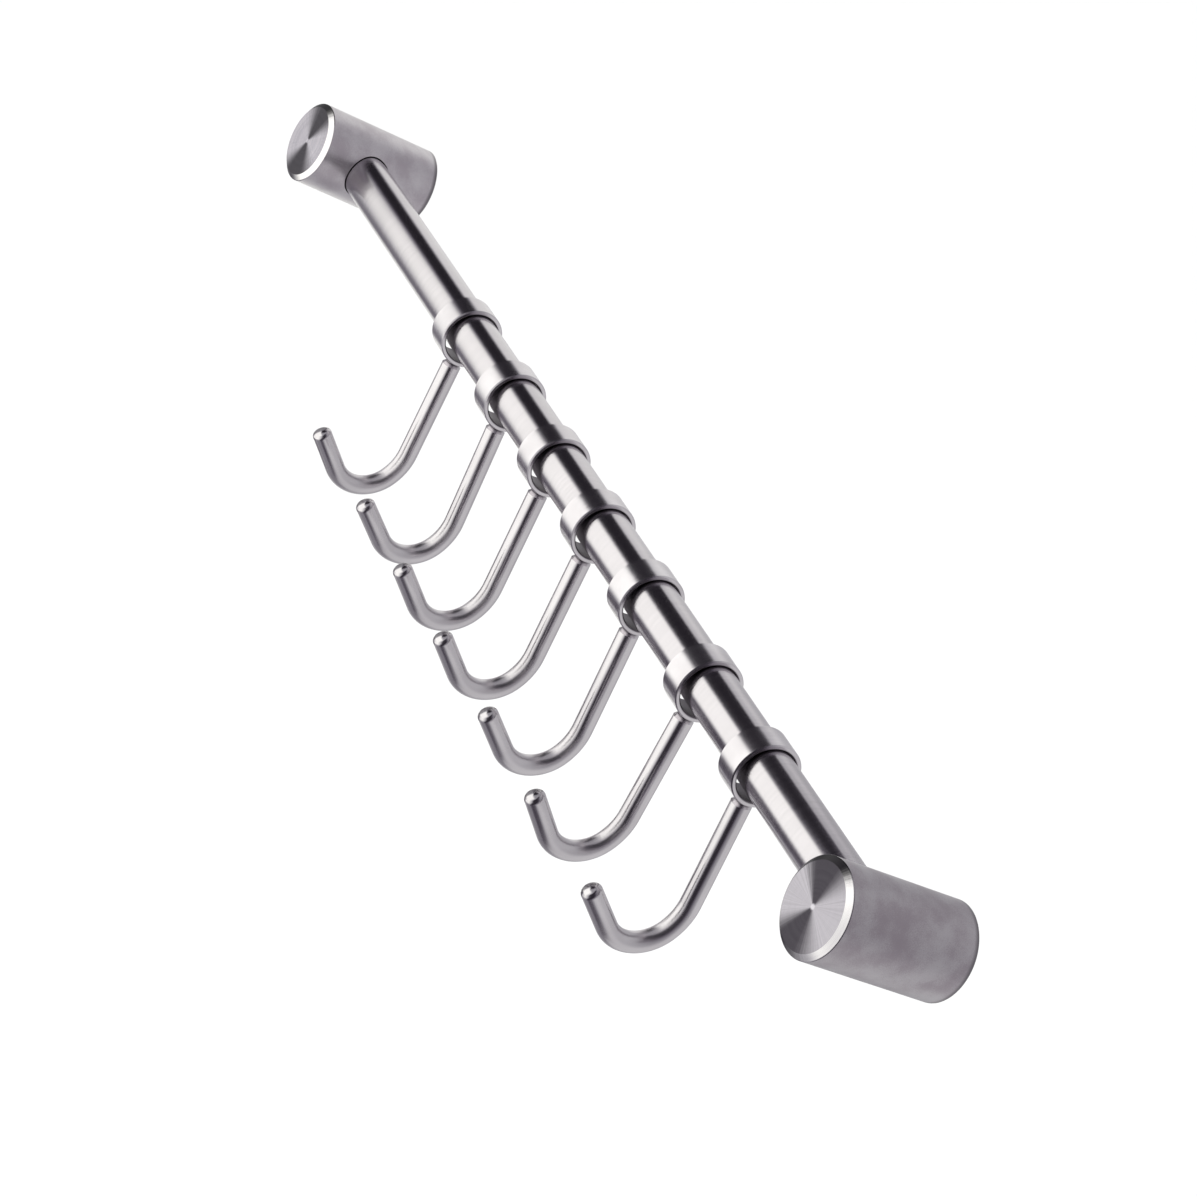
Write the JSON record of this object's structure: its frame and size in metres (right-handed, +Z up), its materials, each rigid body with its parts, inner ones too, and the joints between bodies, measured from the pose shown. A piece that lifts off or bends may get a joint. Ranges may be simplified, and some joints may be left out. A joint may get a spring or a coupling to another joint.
{
  "type": "wall coat rack",
  "caption": "Round steel rail on two turned wall posts, with ring hooks that slide along the rail and swing on it.",
  "frame": {"origin": "halfway between the two wall screws, on the plane of the posts' backs", "axes": "+X along the rail to the right as seen from the room, +Y into the wall, +Z up"},
  "size_m": [0.479, 0.0555, 0.0837],
  "materials": {
    "rail_steel": "drawn stainless tube, polished along its length to a satin shine",
    "post_steel": "turned stainless steel: fine rings on the front face, satin side",
    "ring_steel": "parted stainless tube, polished, with turned ends",
    "rod_steel": "bent stainless rod, satin",
    "disc_steel": "turned steel, zinc plated",
    "screw_steel": "dark steel set screw"
  },
  "bodies": {
    "rail": {"rail_tube": "rail_steel", "left_post": "post_steel", "left_wall_disc": "disc_steel", "left_grub_screw": "screw_steel", "right_post": "post_steel", "right_wall_disc": "disc_steel", "right_grub_screw": "screw_steel"},
    "ring_1": {"hook_ring_1": "ring_steel"},
    "hook_1": {"hook_rod_1": "rod_steel"},
    "ring_2": {"hook_ring_2": "ring_steel"},
    "hook_2": {"hook_rod_2": "rod_steel"},
    "ring_3": {"hook_ring_3": "ring_steel"},
    "hook_3": {"hook_rod_3": "rod_steel"},
    "ring_4": {"hook_ring_4": "ring_steel"},
    "hook_4": {"hook_rod_4": "rod_steel"},
    "ring_5": {"hook_ring_5": "ring_steel"},
    "hook_5": {"hook_rod_5": "rod_steel"},
    "ring_6": {"hook_ring_6": "ring_steel"},
    "hook_6": {"hook_rod_6": "rod_steel"},
    "ring_7": {"hook_ring_7": "ring_steel"},
    "hook_7": {"hook_rod_7": "rod_steel"}
  },
  "joints": [
    {"name": "hook_1_slide", "type": "slide", "parent": "rail", "child": "ring_1", "axis": [1, 0, 0], "range_m": [-0.104, 0.0161]},
    {"name": "hook_1_swing", "type": "hinge", "parent": "ring_1", "child": "hook_1", "pos_m": [-0.101, -0.026, -0.0009], "axis": [1, 0, 0], "range_deg": [-174, 18]},
    {"name": "hook_2_slide", "type": "slide", "parent": "rail", "child": "ring_2", "axis": [1, 0, 0], "range_m": [-0.0161, 0.0152]},
    {"name": "hook_2_swing", "type": "hinge", "parent": "ring_2", "child": "hook_2", "pos_m": [-0.0584, -0.026, -0.0009], "axis": [1, 0, 0], "range_deg": [-177, 15]},
    {"name": "hook_3_slide", "type": "slide", "parent": "rail", "child": "ring_3", "axis": [1, 0, 0], "range_m": [-0.0152, 0.0144]},
    {"name": "hook_3_swing", "type": "hinge", "parent": "ring_3", "child": "hook_3", "pos_m": [-0.0176, -0.026, -0.0009], "axis": [1, 0, 0], "range_deg": [-175, 17]},
    {"name": "hook_4_slide", "type": "slide", "parent": "rail", "child": "ring_4", "axis": [1, 0, 0], "range_m": [-0.0144, 0.0151]},
    {"name": "hook_4_swing", "type": "hinge", "parent": "ring_4", "child": "hook_4", "pos_m": [0.0217, -0.026, -0.0009], "axis": [1, 0, 0], "range_deg": [-176, 16]},
    {"name": "hook_5_slide", "type": "slide", "parent": "rail", "child": "ring_5", "axis": [1, 0, 0], "range_m": [-0.0151, 0.0177]},
    {"name": "hook_5_swing", "type": "hinge", "parent": "ring_5", "child": "hook_5", "pos_m": [0.0622, -0.026, -0.0009], "axis": [1, 0, 0], "range_deg": [-176, 16]},
    {"name": "hook_6_slide", "type": "slide", "parent": "rail", "child": "ring_6", "axis": [1, 0, 0], "range_m": [-0.0177, 0.0159]},
    {"name": "hook_6_swing", "type": "hinge", "parent": "ring_6", "child": "hook_6", "pos_m": [0.1079, -0.026, -0.0009], "axis": [1, 0, 0], "range_deg": [-173, 19]},
    {"name": "hook_7_slide", "type": "slide", "parent": "rail", "child": "ring_7", "axis": [1, 0, 0], "range_m": [-0.0159, 0.0549]},
    {"name": "hook_7_swing", "type": "hinge", "parent": "ring_7", "child": "hook_7", "pos_m": [0.1501, -0.026, -0.0009], "axis": [1, 0, 0], "range_deg": [-177, 15]}
  ]
}
